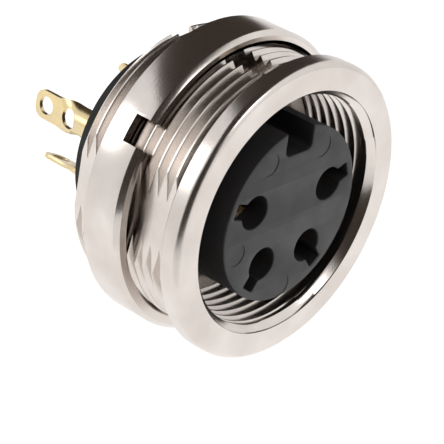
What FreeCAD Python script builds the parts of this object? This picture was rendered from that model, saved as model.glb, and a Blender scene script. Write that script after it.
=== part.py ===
import FreeCAD, Part
import math
import os
from FreeCAD import Vector

# A round four-way chassis socket with a screwed coupling, all sizes in millimetres.
# The socket's axis lies along Y and its mating face looks towards -Y. The origin is
# the centre of the flange's rear face, which seats on the panel. The insert's coding
# notch points up, along +Z. Angles about the axis are measured from +Z towards +X.

# Threads, both metric fine. The mounting thread is drawn as rings at its pitch, and the
# coupling thread as a bore at its crest diameter, between a lip and a run-out groove.
THREAD_PITCH = 0.75
PLUG_ROOM = 2.2
BARREL_WALL = 1.0
OUTSIDE_THREAD_DEPTH = 0.6134 * THREAD_PITCH
INSIDE_THREAD_DEPTH = 0.5413 * THREAD_PITCH

# Clearances
RUNNING_FIT = 0.04
SLIP_FIT = 0.08
CONTACT_FIT = 0.06

# Coordinates nearer than this are the same
ROUNDING = 0.000001

# Shell: flange, threaded barrel and the cavity that takes the plug
FLANGE_OVERHANG = 0.8
FLANGE_THICKNESS = 1.4
FLANGE_EDGE_RADIUS = 0.45
FLANGE_EDGE_STEPS = 3
FLANGE_REAR_BREAK = 0.12
BARREL_END_LAND = 0.7
BARREL_END_CHAMFER = 0.4
BARREL_COLLAR = 0.3
CAVITY_DEPTH = 6.6
CAVITY_LIP_DEPTH = 0.4
CAVITY_LIP_CHAMFER = 0.4
CAVITY_RUNOUT = 0.6
SHOULDER_THICKNESS = 0.7
REAR_BORE_STEP = 0.65
FLATS_DEPTH = 0.6
FLATS_ANGLE = -86.0
KEYWAY_WIDTH = 1.7
KEYWAY_DEPTH = 0.8
KEYWAY_ANGLE = -5.5

# Slotted round nut on the barrel
NUT_WALL = 1.0
NUT_THICKNESS = 3.0
NUT_GAP = 3.4
NUT_FRONT_CHAMFER = 0.3
NUT_REAR_CHAMFER = 0.2
NUT_BORE_CHAMFER = 0.12
NUT_SLOT_WIDTH = 1.8
NUT_SLOT_DEPTH = 1.4
NUT_SLOT_ANGLE = -56.0
NUT_SLOT_COUNT = 2

# Contact insert, the moulded piece that the plug's pins enter
INSERT_MARGIN = 2.3
INSERT_EDGE_BREAK = 0.12
INSERT_FLANGE_THICKNESS = 0.7
NOTCH_WIDTH = 2.35
NOTCH_DEPTH = 1.7
NOTCH_CORNER_RADIUS = 0.45
CONTACT_CIRCLE = 7.0
CONTACT_ANGLES = (72.0, -72.0, -144.0, 144.0)
CAVITY_HOLE = 2.2
CAVITY_SLOT_WIDTH = 1.0
CAVITY_SLOT_LENGTH = 1.8
TAB_WIDTH = 2.0
TAB_HEIGHT = 0.5
TAB_ANGLE = 180.0

# Rear insulator, which closes the insert and carries the tails
REAR_FLANGE_THICKNESS = 0.5
BOSS_STEP = 0.85
BOSS_PROJECTION = 2.25
BOSS_EDGE_BREAK = 0.2

# Split ring that holds both insulators in the shell
RING_THICKNESS = 0.65
RING_WIDTH = 0.85
RING_GROOVE_DEPTH = 0.3
RING_SEAT = 0.05
RING_GAP_ANGLE = 44.0
RING_GAP_CENTRE = 180.0

# Contact: a rolled spring socket with a solder tail, stamped from one strip
STRIP_THICKNESS = 0.28
PIN_DIAMETER = 1.4
SOCKET_SETBACK = 1.5
TUBE_SETBACK = 0.3
SEAM_WIDTH = 0.5
TONGUE_WIDTH = 0.7
TONGUE_START = 0.8
TONGUE_LENGTH = 2.4
TONGUE_RISE = 0.55
EAR_REACH = 1.5
EAR_LENGTH = 0.4
TROUGH_DIAMETER = 1.64
TAIL_WIDTH = 2.0
TAIL_TURN = -12.0
TROUGH_LENGTH = 2.8
BEND_LENGTH = 1.7
LUG_OFFSET = 0.44
LUG_LENGTH = 2.15
LUG_CORNER = 0.55
SOLDER_HOLE = 1.2
SOLDER_HOLE_FROM_TIP = 1.07
WINDOW_HOLE = 1.35
WINDOW_FROM_HOLE = 2.28

# Places along the axis, worked out from the sizes above
FACE_Y = -FLANGE_THICKNESS
FLOOR_Y = FACE_Y + CAVITY_DEPTH
SHOULDER_Y = FLOOR_Y + SHOULDER_THICKNESS
INSERT_BACK_Y = SHOULDER_Y + INSERT_FLANGE_THICKNESS
RING_Y = INSERT_BACK_Y + REAR_FLANGE_THICKNESS
GROOVE_BACK_Y = RING_Y + RING_THICKNESS + RING_SEAT
BARREL_END_Y = GROOVE_BACK_Y + BARREL_END_LAND
BOSS_END_Y = BARREL_END_Y + BOSS_PROJECTION
TUBE_END_Y = INSERT_BACK_Y - TUBE_SETBACK

# Radii, outwards from the contacts: the insert is 11.6 across, the coupling thread is M16,
# the mounting thread M18, the flange 19.6 across and the nut 20
CONTACT_RADIUS = CONTACT_CIRCLE / 2.0
INSERT_RADIUS = CONTACT_RADIUS + INSERT_MARGIN
NOTCH_FLOOR = INSERT_RADIUS - NOTCH_DEPTH
CAVITY_SLOT_REACH = CONTACT_RADIUS + CAVITY_SLOT_LENGTH
SHOULDER_BORE = INSERT_RADIUS + SLIP_FIT
COUPLING_ROOT = INSERT_RADIUS + PLUG_ROOM
COUPLING_CREST = COUPLING_ROOT - INSIDE_THREAD_DEPTH
REAR_BORE = COUPLING_ROOT - REAR_BORE_STEP
BOSS_RADIUS = REAR_BORE - BOSS_STEP
BARREL_RADIUS = COUPLING_ROOT + BARREL_WALL
BARREL_ROOT = BARREL_RADIUS - OUTSIDE_THREAD_DEPTH
FLAT_FLOOR = BARREL_RADIUS - FLATS_DEPTH
KEYWAY_FLOOR = BARREL_RADIUS - KEYWAY_DEPTH
FLANGE_RADIUS = BARREL_RADIUS + FLANGE_OVERHANG
NUT_RADIUS = BARREL_RADIUS + NUT_WALL
SOCKET_INNER = PIN_DIAMETER / 2.0
SOCKET_OUTER = SOCKET_INNER + STRIP_THICKNESS
TROUGH_OUTER = TROUGH_DIAMETER / 2.0
TROUGH_INNER = TROUGH_OUTER - STRIP_THICKNESS
LUG_HALF_WIDTH = TAIL_WIDTH / 2.0

AXIS = Vector(0.0, 1.0, 0.0)
ORIGIN = Vector(0.0, 0.0, 0.0)


def turned(points):
    """Revolve a closed outline of (radius, y) points."""
    corners = [Vector(radius, y, 0.0) for radius, y in points]
    return Part.Face(Part.makePolygon(corners + corners[:1])).revolve(ORIGIN, AXIS, 360.0)


def rounded_edge(centre, radius, steps):
    """Outline points of a quarter round, from its front to its outermost radius."""
    points = []
    for step in range(steps + 1):
        turn = math.radians(90.0 * step / steps)
        points.append((centre[0] + radius * math.sin(turn), centre[1] - radius * math.cos(turn)))
    return points


def ring(outer, inner, start, end):
    """A plain ring about the axis."""
    solid = Part.makeCylinder(outer, end - start, Vector(0.0, start, 0.0), AXIS)
    if inner > 0.0:
        solid = solid.cut(Part.makeCylinder(inner, end - start, Vector(0.0, start, 0.0), AXIS))
    return solid


def radial_block(width, low, high, start, end, angle=0.0):
    """A block across the axis plane: width about the middle, low to high outwards."""
    block = Part.makeBox(width, end - start, high - low, Vector(-width / 2.0, start, low))
    block.rotate(ORIGIN, AXIS, angle)
    return block


def about_axis(shape, angle):
    """The shape turned about the socket's axis."""
    copy = shape.copy()
    copy.rotate(ORIGIN, AXIS, angle)
    return copy


def about_contact(shape):
    """The shape at the top of the contact circle, turned as the tails are about the contact."""
    copy = shape.copy()
    copy.rotate(Vector(0.0, 0.0, CONTACT_RADIUS), AXIS, TAIL_TURN)
    return copy


def make_shell():
    """Flange and threaded barrel in one turned piece, with its cavity and rear bore."""
    edge_centre = (FLANGE_RADIUS - FLANGE_EDGE_RADIUS, FACE_Y + FLANGE_EDGE_RADIUS)
    outline = [(COUPLING_ROOT, FACE_Y)]
    outline += rounded_edge(edge_centre, FLANGE_EDGE_RADIUS, FLANGE_EDGE_STEPS)
    outline += [
        (FLANGE_RADIUS, -FLANGE_REAR_BREAK),
        (FLANGE_RADIUS - FLANGE_REAR_BREAK, 0.0),
        (BARREL_RADIUS, 0.0),
        (BARREL_RADIUS, BARREL_COLLAR),
        (BARREL_ROOT, BARREL_COLLAR + THREAD_PITCH / 2.0),
    ]

    # Mounting thread, from a plain collar at the flange to a chamfered crest
    chamfer_y = BARREL_END_Y - BARREL_END_CHAMFER
    crest_y = BARREL_COLLAR + THREAD_PITCH
    while crest_y + THREAD_PITCH < chamfer_y:
        outline.append((BARREL_RADIUS, crest_y))
        outline.append((BARREL_ROOT, crest_y + THREAD_PITCH / 2.0))
        crest_y += THREAD_PITCH
    outline += [
        (BARREL_RADIUS, crest_y),
        (BARREL_RADIUS, chamfer_y),
        (BARREL_RADIUS - BARREL_END_CHAMFER, BARREL_END_Y),
    ]

    # Rear bore with the retaining ring's groove, then the shoulder
    groove = REAR_BORE + RING_GROOVE_DEPTH
    outline += [
        (REAR_BORE, BARREL_END_Y),
        (REAR_BORE, GROOVE_BACK_Y),
        (groove, GROOVE_BACK_Y),
        (groove, RING_Y),
        (REAR_BORE, RING_Y),
        (REAR_BORE, SHOULDER_Y),
        (SHOULDER_BORE, SHOULDER_Y),
        (SHOULDER_BORE, FLOOR_Y),
        (COUPLING_ROOT, FLOOR_Y),
    ]

    # Run-out groove at the floor, the coupling thread's bore and its lip
    outline += [
        (COUPLING_ROOT, FLOOR_Y - CAVITY_RUNOUT),
        (COUPLING_CREST, FLOOR_Y - CAVITY_RUNOUT - INSIDE_THREAD_DEPTH),
        (COUPLING_CREST, FACE_Y + CAVITY_LIP_DEPTH + CAVITY_LIP_CHAMFER),
        (COUPLING_ROOT, FACE_Y + CAVITY_LIP_DEPTH),
    ]
    shell = turned(outline)

    # Two flats and a keyway along the thread, and the slot for the insert's tab
    reach = BARREL_RADIUS + RUNNING_FIT
    for side in (0.0, 180.0):
        flat = radial_block(2.0 * reach, FLAT_FLOOR, reach, 0.0, BARREL_END_Y, FLATS_ANGLE + side)
        shell = shell.cut(flat)
    keyway = radial_block(KEYWAY_WIDTH, KEYWAY_FLOOR, reach, 0.0, BARREL_END_Y, KEYWAY_ANGLE)
    tab_slot = radial_block(TAB_WIDTH + 2.0 * SLIP_FIT, SHOULDER_BORE, REAR_BORE + TAB_HEIGHT,
                            SHOULDER_Y, BARREL_END_Y, TAB_ANGLE)
    return shell.cut(keyway).cut(tab_slot).removeSplitter()


def make_ring_nut():
    """Slotted round nut, at the place along the barrel that leaves room for the panel."""
    bore = BARREL_RADIUS + RUNNING_FIT
    front = NUT_GAP
    back = NUT_GAP + NUT_THICKNESS
    nut = turned([
        (bore + NUT_BORE_CHAMFER, front),
        (NUT_RADIUS - NUT_FRONT_CHAMFER, front),
        (NUT_RADIUS, front + NUT_FRONT_CHAMFER),
        (NUT_RADIUS, back - NUT_REAR_CHAMFER),
        (NUT_RADIUS - NUT_REAR_CHAMFER, back),
        (bore + NUT_BORE_CHAMFER, back),
        (bore, back - NUT_BORE_CHAMFER),
        (bore, front + NUT_BORE_CHAMFER),
    ])
    for number in range(NUT_SLOT_COUNT):
        angle = NUT_SLOT_ANGLE + number * 360.0 / NUT_SLOT_COUNT
        slot = radial_block(NUT_SLOT_WIDTH, bore / 2.0, 2.0 * NUT_RADIUS, front, front + NUT_SLOT_DEPTH, angle)
        nut = nut.cut(slot)
    return nut


def keyhole(hole, start, end):
    """The room for one contact at the top of the circle: a round hole with a slot outwards."""
    room = Part.makeCylinder(hole / 2.0, end - start, Vector(0.0, start, CONTACT_RADIUS), AXIS)
    return room.fuse(radial_block(CAVITY_SLOT_WIDTH, CONTACT_RADIUS, CAVITY_SLOT_REACH, start, end))


def make_contact_insert():
    """Round column with a coding notch and four keyhole cavities, on a flange with a tab."""
    insert = turned([
        (0.0, FACE_Y),
        (INSERT_RADIUS - INSERT_EDGE_BREAK, FACE_Y),
        (INSERT_RADIUS, FACE_Y + INSERT_EDGE_BREAK),
        (INSERT_RADIUS, SHOULDER_Y),
        (REAR_BORE - SLIP_FIT, SHOULDER_Y),
        (REAR_BORE - SLIP_FIT, INSERT_BACK_Y),
        (0.0, INSERT_BACK_Y),
    ])
    tab = radial_block(TAB_WIDTH, INSERT_RADIUS, REAR_BORE + TAB_HEIGHT - SLIP_FIT,
                       SHOULDER_Y, INSERT_BACK_Y, TAB_ANGLE)
    notch = radial_block(NOTCH_WIDTH, NOTCH_FLOOR, 2.0 * INSERT_RADIUS, FACE_Y, FLOOR_Y)
    corners = [edge for edge in notch.Edges
               if abs(edge.Vertexes[0].Z - NOTCH_FLOOR) < ROUNDING
               and abs(edge.Vertexes[1].Z - NOTCH_FLOOR) < ROUNDING
               and abs(edge.Vertexes[0].X - edge.Vertexes[1].X) < ROUNDING]
    notch = notch.makeFillet(NOTCH_CORNER_RADIUS, corners)
    insert = insert.fuse(tab).cut(notch)
    for angle in CONTACT_ANGLES:
        insert = insert.cut(about_axis(keyhole(CAVITY_HOLE, FACE_Y, INSERT_BACK_Y), angle))
    return insert.removeSplitter()


def make_rear_insulator():
    """Disc behind the insert with a boss, pockets for the contacts' ears and ways for the tails."""
    body = turned([
        (0.0, INSERT_BACK_Y),
        (REAR_BORE - SLIP_FIT, INSERT_BACK_Y),
        (REAR_BORE - SLIP_FIT, RING_Y),
        (BOSS_RADIUS, RING_Y),
        (BOSS_RADIUS, BOSS_END_Y - BOSS_EDGE_BREAK),
        (BOSS_RADIUS - BOSS_EDGE_BREAK, BOSS_END_Y),
        (0.0, BOSS_END_Y),
    ])
    pocket_end = INSERT_BACK_Y + EAR_LENGTH + CONTACT_FIT
    for angle in CONTACT_ANGLES:
        way = Part.makeCylinder(TROUGH_OUTER + CONTACT_FIT, BOSS_END_Y - INSERT_BACK_Y,
                                Vector(0.0, INSERT_BACK_Y, CONTACT_RADIUS), AXIS)
        half = radial_block(CAVITY_HOLE * 2.0, CONTACT_RADIUS - CONTACT_FIT, 2.0 * INSERT_RADIUS,
                            INSERT_BACK_Y, BOSS_END_Y)
        pocket = radial_block(2.0 * (EAR_REACH + CONTACT_FIT), CONTACT_RADIUS - CONTACT_FIT,
                              CONTACT_RADIUS + STRIP_THICKNESS + CONTACT_FIT, INSERT_BACK_Y, pocket_end)
        body = body.cut(about_axis(about_contact(way.common(half).fuse(pocket)), angle))
    return body


def make_retaining_ring():
    """Flat split ring, sprung into the groove of the rear bore."""
    outer = REAR_BORE + RING_GROOVE_DEPTH - RING_SEAT
    start = RING_Y + RING_SEAT / 2.0
    body = ring(outer, outer - RING_WIDTH, start, start + RING_THICKNESS)
    half_gap = math.radians(RING_GAP_ANGLE / 2.0)
    reach = 2.0 * outer
    corner = Vector(0.0, start, 0.0)
    left = Vector(-reach * math.sin(half_gap), start, reach * math.cos(half_gap))
    right = Vector(reach * math.sin(half_gap), start, reach * math.cos(half_gap))
    wedge = Part.Face(Part.makePolygon([corner, left, right, corner])).extrude(AXIS * RING_THICKNESS)
    return body.cut(about_axis(wedge, RING_GAP_CENTRE))


def side_prism(corners):
    """A prism across the contact's strip from its side view's (y, height) corners."""
    reach = TAIL_WIDTH
    points = [Vector(-reach, y, CONTACT_RADIUS + height) for y, height in corners]
    return Part.Face(Part.makePolygon(points + points[:1])).extrude(Vector(2.0 * reach, 0.0, 0.0))


def pressed_half_tube(radius, start, bend_y, end, end_height):
    """Outer half of a tube's inside, whose crown is pressed down evenly from bend_y to end."""
    tube = Part.makeCylinder(radius, end - start, Vector(0.0, start, CONTACT_RADIUS), AXIS)
    above = TAIL_WIDTH
    tube = tube.cut(side_prism([(start, 0.0), (end, 0.0), (end, -above), (start, -above)]))
    return tube.cut(side_prism([(bend_y, radius), (end, end_height), (end, above), (bend_y, above)]))


def make_tail():
    """Half-rolled tail, pressed out into a flat lug with cut corners and two holes."""
    bend_y = BOSS_END_Y + TROUGH_LENGTH
    lug_y = bend_y + BEND_LENGTH
    tip_y = lug_y + LUG_LENGTH
    high = LUG_OFFSET + STRIP_THICKNESS / 2.0
    low = LUG_OFFSET - STRIP_THICKNESS / 2.0

    # The trough through the insulator and the bend, with the trough's edges rising to the lug
    tail = pressed_half_tube(TROUGH_OUTER, TUBE_END_Y, bend_y, lug_y, high)
    tail = tail.cut(pressed_half_tube(TROUGH_INNER, TUBE_END_Y, bend_y, lug_y, low))
    tail = tail.cut(side_prism([(bend_y, 0.0), (lug_y, low), (lug_y, -TAIL_WIDTH), (bend_y, -TAIL_WIDTH)]))

    # The flat lug
    base = CONTACT_RADIUS + low
    outline = [
        Vector(-LUG_HALF_WIDTH, lug_y, base),
        Vector(-LUG_HALF_WIDTH, tip_y - LUG_CORNER, base),
        Vector(-LUG_HALF_WIDTH + LUG_CORNER, tip_y, base),
        Vector(LUG_HALF_WIDTH - LUG_CORNER, tip_y, base),
        Vector(LUG_HALF_WIDTH, tip_y - LUG_CORNER, base),
        Vector(LUG_HALF_WIDTH, lug_y, base),
    ]
    lug = Part.Face(Part.makePolygon(outline + outline[:1])).extrude(Vector(0.0, 0.0, STRIP_THICKNESS))
    tail = tail.fuse(lug)

    # Solder hole near the tip, and the wire's hole through the bend
    hole_y = tip_y - SOLDER_HOLE_FROM_TIP
    for diameter, y in ((SOLDER_HOLE, hole_y), (WINDOW_HOLE, hole_y - WINDOW_FROM_HOLE)):
        drill = Part.makeCylinder(diameter / 2.0, TAIL_WIDTH, Vector(0.0, y, CONTACT_RADIUS))
        tail = tail.cut(drill)
    return tail


def make_contact(angle):
    """One stamped contact: rolled socket with a seam, a tongue, two ears and the solder tail."""
    start = FACE_Y + SOCKET_SETBACK
    place = Vector(0.0, start, CONTACT_RADIUS)
    socket = Part.makeCylinder(SOCKET_OUTER, TUBE_END_Y - start, place, AXIS)
    socket = socket.cut(Part.makeCylinder(SOCKET_INNER, TUBE_END_Y - start, place, AXIS))
    socket = socket.cut(radial_block(SEAM_WIDTH, 0.0, CONTACT_RADIUS, start, TUBE_END_Y))

    # Spring tongue, rising from the socket's outer side into the cavity's slot
    root_y = start + TONGUE_START
    tip_y = root_y + TONGUE_LENGTH
    root = CONTACT_RADIUS + (SOCKET_INNER + SOCKET_OUTER) / 2.0
    tip = CONTACT_RADIUS + SOCKET_OUTER + TONGUE_RISE
    side = -TONGUE_WIDTH / 2.0
    outline = [
        Vector(side, root_y, root),
        Vector(side, tip_y, tip),
        Vector(side, tip_y, tip - STRIP_THICKNESS),
        Vector(side, root_y + STRIP_THICKNESS, root),
    ]
    tongue = Part.Face(Part.makePolygon(outline + outline[:1])).extrude(Vector(TONGUE_WIDTH, 0.0, 0.0))

    # Tail with ears that lie in the rear insulator's pockets
    tail = make_tail()
    ear_root = (TROUGH_INNER + TROUGH_OUTER) / 2.0
    for sign in (-1.0, 1.0):
        ear = radial_block(EAR_REACH - ear_root, CONTACT_RADIUS, CONTACT_RADIUS + STRIP_THICKNESS,
                           INSERT_BACK_Y, INSERT_BACK_Y + EAR_LENGTH)
        ear.translate(Vector(sign * (ear_root + EAR_REACH) / 2.0, 0.0, 0.0))
        tail = tail.fuse(ear)
    contact = socket.fuse([tongue, about_contact(tail)])
    return about_axis(contact.removeSplitter(), angle)


def main():
    nodes = {
        "shell": make_shell(),
        "ring_nut": make_ring_nut(),
        "contact_insert": make_contact_insert(),
        "rear_insulator": make_rear_insulator(),
        "retaining_ring": make_retaining_ring(),
    }
    for number, angle in enumerate(CONTACT_ANGLES, start=1):
        nodes["contact_%d" % number] = make_contact(angle)
    os.makedirs("parts", exist_ok=True)
    for name, shape in nodes.items():
        if not shape.isValid() or len(shape.Solids) != 1:
            raise RuntimeError("%s is not one valid solid" % name)
        shape.exportStep("parts/%s.step" % name)
        print("%-15s volume %8.2f mm3" % (name, shape.Volume))


main()
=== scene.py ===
"""Looks for a round panel socket with a screw coupling: threads, mouldings and finishes.

Lengths are in metres and lie in the frame of the CAD parts: the socket's axis is Y, its mating
face looks towards -Y and the coding notch points up. Angles are measured from up towards +X.
"""

import math

import bmesh
import bpy
from bpy.props import FloatProperty, FloatVectorProperty, IntProperty, PointerProperty
from mathutils import Matrix, Vector


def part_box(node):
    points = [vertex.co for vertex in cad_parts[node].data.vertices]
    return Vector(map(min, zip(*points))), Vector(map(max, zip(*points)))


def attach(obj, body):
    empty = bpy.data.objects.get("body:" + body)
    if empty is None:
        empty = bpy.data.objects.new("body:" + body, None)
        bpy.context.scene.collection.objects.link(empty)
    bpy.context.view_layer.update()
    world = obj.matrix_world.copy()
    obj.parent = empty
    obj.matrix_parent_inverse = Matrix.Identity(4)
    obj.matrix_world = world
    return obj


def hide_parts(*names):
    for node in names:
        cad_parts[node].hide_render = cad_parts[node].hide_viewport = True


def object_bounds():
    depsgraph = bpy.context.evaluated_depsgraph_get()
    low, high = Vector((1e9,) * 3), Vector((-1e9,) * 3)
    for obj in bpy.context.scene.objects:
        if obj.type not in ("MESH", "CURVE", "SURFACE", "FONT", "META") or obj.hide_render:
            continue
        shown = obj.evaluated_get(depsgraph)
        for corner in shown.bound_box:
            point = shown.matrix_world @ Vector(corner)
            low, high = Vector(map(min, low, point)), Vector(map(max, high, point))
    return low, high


bl_info = {
    "name": "Panel Socket Looks",
    "version": (1, 0, 0),
    "blender": (4, 5, 0),
    "location": "View3D > Sidebar > Socket",
    "description": "Builds the visible pieces and finishes of a round panel socket",
    "category": "Object",
}

MM = 0.001
FULL_TURN = 2.0 * math.pi

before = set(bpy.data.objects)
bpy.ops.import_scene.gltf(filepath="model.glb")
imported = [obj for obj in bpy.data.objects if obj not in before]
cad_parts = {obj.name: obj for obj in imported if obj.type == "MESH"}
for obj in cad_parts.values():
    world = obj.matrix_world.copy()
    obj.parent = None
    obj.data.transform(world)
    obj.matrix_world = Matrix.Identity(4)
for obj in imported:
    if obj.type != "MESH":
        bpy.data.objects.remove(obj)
CAD_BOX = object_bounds()
SHELL_LOW, SHELL_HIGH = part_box("shell")
NUT_LOW, NUT_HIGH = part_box("ring_nut")
INSERT_LOW, INSERT_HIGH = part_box("contact_insert")

# Direction around the axis where each turned mesh starts and ends, clear of every slot
SEAM = math.radians(30.0)

# Steps around the outlines of the mouldings, and columns across the contacts' strip
ROUND_STEPS = 180
STRIP_COLUMNS = 36

# A small step that keeps two outlines apart, and distances under which points are welded and
# edges count as nothing
APART = 0.02 * MM
WELD = 0.0003 * MM
NOTHING = 0.0001 * MM

# Half of the angle between a thread's flanks, and places of the mesh rows along one flank
FLANK_ANGLE = math.radians(30.0)
FLANK_SHARES = (1.0, 0.66, 0.33, 0.0)

# Directions of contacts 1 to 4 from the axis, and places (x, z) of the ejector pins' marks
CONTACT_DIRECTIONS = tuple(math.radians(degrees) for degrees in (72.0, -72.0, -144.0, 144.0))
MARK_PLACES = ((-2.5 * MM, 4.05 * MM), (2.2 * MM, 4.0 * MM), (-4.6 * MM, -1.4 * MM),
               (0.0, -5.0 * MM))

# The smallest angle between two faces that makes a sharp edge
TURNED_SHARP = math.radians(28.0)
MOULDED_SHARP = math.radians(35.0)
STAMPED_SHARP = math.radians(40.0)

# Sockets of a colour Mix node, which shares its socket names with its other kinds
MIX_FIRST = 6
MIX_SECOND = 7
MIX_COLOUR = 2


# Properties

def length(name, description, millimetres):
    """A length property whose default is given in millimetres."""
    return FloatProperty(name=name, description=description, default=millimetres * MM,
                         unit="LENGTH", precision=5)


def direction(name, description, degrees):
    """An angle property whose default is given in degrees."""
    return FloatProperty(name=name, description=description, default=math.radians(degrees),
                         subtype="ANGLE")


def colour(name, description, value):
    """A colour property."""
    return FloatVectorProperty(name=name, description=description, default=value, subtype="COLOR",
                               size=3, min=0.0, max=1.0)


def number(name, description, value):
    """A property without a unit."""
    return FloatProperty(name=name, description=description, default=value)


def part(group, name, description):
    """A pointer to another group of properties."""
    return PointerProperty(type=group, name=name, description=description)


class ThreadSizes(bpy.types.PropertyGroup):
    pitch: length("Pitch", "Distance from one crest to the next on every thread", 0.75)
    outside_depth: length("Outside Depth", "Depth of the mounting thread", 0.46)
    inside_depth: length("Inside Depth", "Depth of the coupling thread", 0.406)
    outside_crest: length("Outside Crest", "Width of the mounting thread's crest", 0.094)
    inside_crest: length("Inside Crest", "Width of the coupling thread's crest", 0.188)
    outside_start: length("Outside Start", "Place of a mounting crest at the notch", 0.253)
    inside_start: length("Inside Start", "Place of a coupling crest at the notch", -0.02)


class ShellSizes(bpy.types.PropertyGroup):
    coupling_radius: length("Coupling Radius", "Outside radius of the coupling thread", 8.0)
    barrel_radius: length("Barrel Radius", "Outside radius of the mounting thread", 9.0)
    edge_radius: length("Edge Radius", "Rounding of the flange's front edge", 0.45)
    rear_break: length("Rear Break", "Chamfer of the flange's rear edge", 0.12)
    collar: length("Collar", "Plain collar between the flange and the thread", 0.3)
    end_chamfer: length("End Chamfer", "Chamfer of the barrel's rear end", 0.4)
    lip_depth: length("Lip Depth", "Plain land in front of the mouth's chamfer", 0.08)
    thread_start: length("Thread Start", "From the mating face to the coupling thread", 0.75)
    cavity_depth: length("Cavity Depth", "From the mating face to the cavity's floor", 6.6)
    cavity_runout: length("Cavity Run-out", "Plain neck behind the coupling thread", 0.6)
    shoulder_radius: length("Shoulder Radius", "Bore that the insert's column passes", 5.88)
    shoulder_depth: length("Shoulder Depth", "Thickness of the shoulder that holds the insert", 0.7)
    rear_bore_radius: length("Rear Bore Radius", "Bore behind the shoulder", 7.35)
    bore_break: length("Bore Break", "Chamfer at the rear bore's mouth", 0.1)
    groove_radius: length("Groove Radius", "Bottom of the retaining ring's groove", 7.65)
    groove_start: length("Groove Start", "Front wall of the retaining ring's groove", 7.1)
    groove_width: length("Groove Width", "Width of the retaining ring's groove", 0.7)
    flats_distance: length("Flats Distance", "From the axis to each flat of the barrel", 8.4)
    flats_angle: direction("Flats Angle", "Direction of the near flat", -86.0)
    keyway_width: length("Keyway Width", "Width of the groove along the barrel", 1.7)
    keyway_floor: length("Keyway Floor", "From the axis to the keyway's floor", 8.2)
    keyway_angle: direction("Keyway Angle", "Direction of the keyway", -5.5)
    tab_slot_width: length("Tab Slot Width", "Width of the slot for the insert's tab", 2.16)
    tab_slot_floor: length("Tab Slot Floor", "From the axis to the tab slot's floor", 7.85)
    steps: IntProperty(name="Steps", description="Facets around each turned piece", default=300,
                       min=60)


class NutSizes(bpy.types.PropertyGroup):
    bore_radius: length("Bore Radius", "Crest radius of the nut's thread", 9.05)
    thread_depth: length("Thread Depth", "Depth of the nut's thread", 0.36)
    bore_chamfer: length("Bore Chamfer", "Countersink at each end of the bore", 0.12)
    front_chamfer: length("Front Chamfer", "Chamfer of the front outer edge", 0.3)
    rear_chamfer: length("Rear Chamfer", "Chamfer of the rear outer edge", 0.2)
    edge_break: length("Edge Break", "Softening where the front chamfer meets the side", 0.04)
    slot_width: length("Slot Width", "Width of each spanner slot", 1.8)
    slot_depth: length("Slot Depth", "Depth of each spanner slot from the front", 1.4)
    slot_angle: direction("Slot Angle", "Direction of the first spanner slot", -56.0)


class InsertSizes(bpy.types.PropertyGroup):
    edge_radius: length("Edge Radius", "Rounding of the moulding's edges", 0.09)
    notch_width: length("Notch Width", "Width of the coding notch", 2.35)
    notch_floor: length("Notch Floor", "From the axis to the notch's floor", 4.1)
    notch_corner: length("Notch Corner", "Rounding of the notch's inner corners", 0.45)
    notch_length: length("Notch Length", "From the front face to the notch's end", 6.6)
    column_radius: length("Column Radius", "Radius of the insert's column", 5.8)
    contact_circle: length("Contact Circle", "Radius of the circle that the contacts lie on", 3.5)
    cavity_radius: length("Cavity Radius", "Radius of each contact's hole", 1.1)
    slot_width: length("Slot Width", "Width of each hole's outward slot", 1.0)
    slot_reach: length("Slot Reach", "From the axis to the slot's end", 5.3)
    slot_corner: length("Slot Corner", "Rounding of the slot's end corners", 0.1)
    flange_thickness: length("Flange Thickness", "Thickness of the flange behind the column", 0.7)
    flange_radius: length("Flange Radius", "Radius of the flange behind the column", 7.27)
    tab_width: length("Tab Width", "Width of the flange's tab", 2.0)
    tab_radius: length("Tab Radius", "From the axis to the end of the flange's tab", 7.76)
    mark_radius: length("Mark Radius", "Radius of the ejector pins' marks", 0.75)
    mark_depth: length("Mark Depth", "Depth of the ejector pins' marks", 0.03)


class ContactSizes(bpy.types.PropertyGroup):
    thickness: length("Thickness", "Thickness of the strip", 0.28)
    edge_radius: length("Edge Radius", "Rounding of the strip's edges", 0.03)
    start: length("Start", "Front end of the rolled socket", 0.1)
    socket_end: length("Socket End", "Where the strip narrows behind the socket", 6.05)
    socket_radius: length("Socket Radius", "Radius of the rolled socket, mid-strip", 0.84)
    socket_width: length("Socket Width", "Width of the strip where it is rolled up", 4.78)
    tail_start: length("Tail Start", "Where the tail has its full form", 6.45)
    tail_radius: length("Tail Radius", "Radius of the trough, mid-strip", 0.86)
    tail_width: length("Tail Width", "Width of the strip where it is half round", 2.6)
    lug_width: length("Lug Width", "Width of the strip at the lug", 1.92)
    bend_start: length("Bend Start", "Where the trough begins to open out", 13.3)
    lug_start: length("Lug Start", "Where the tail is flat", 15.4)
    tip: length("Tip", "End of the lug", 17.3)
    lug_height: length("Lug Height", "From the contact's axis to the lug's middle", 0.44)
    lug_curve: length("Lug Curve", "Radius across the lug, which is almost flat", 400.0)
    lug_corner: length("Lug Corner", "Rounding of the lug's corners", 0.72)
    solder_hole: length("Solder Hole", "Radius of the hole near the tip", 0.6)
    solder_hole_place: length("Solder Hole Place", "Where the hole near the tip is", 16.33)
    window: length("Window", "Radius of the hole through the bend", 0.675)
    window_place: length("Window Place", "Where the hole through the bend is", 14.05)
    tongue_width: length("Tongue Width", "Width of the spring tongue", 0.7)
    tongue_start: length("Tongue Start", "Root of the spring tongue", 0.9)
    tongue_end: length("Tongue End", "Free end of the spring tongue", 3.3)
    tongue_rise: length("Tongue Rise", "How far the tongue stands out at its free end", 0.5)
    ear_reach: length("Ear Reach", "From the contact's middle to the end of each ear", 1.5)
    ear_start: length("Ear Start", "Front edge of the ears", 6.6)
    ear_end: length("Ear End", "Rear edge of the ears", 7.0)
    tail_turn: direction("Tail Turn", "Turn of each tail about its own contact", -12.0)


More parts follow.
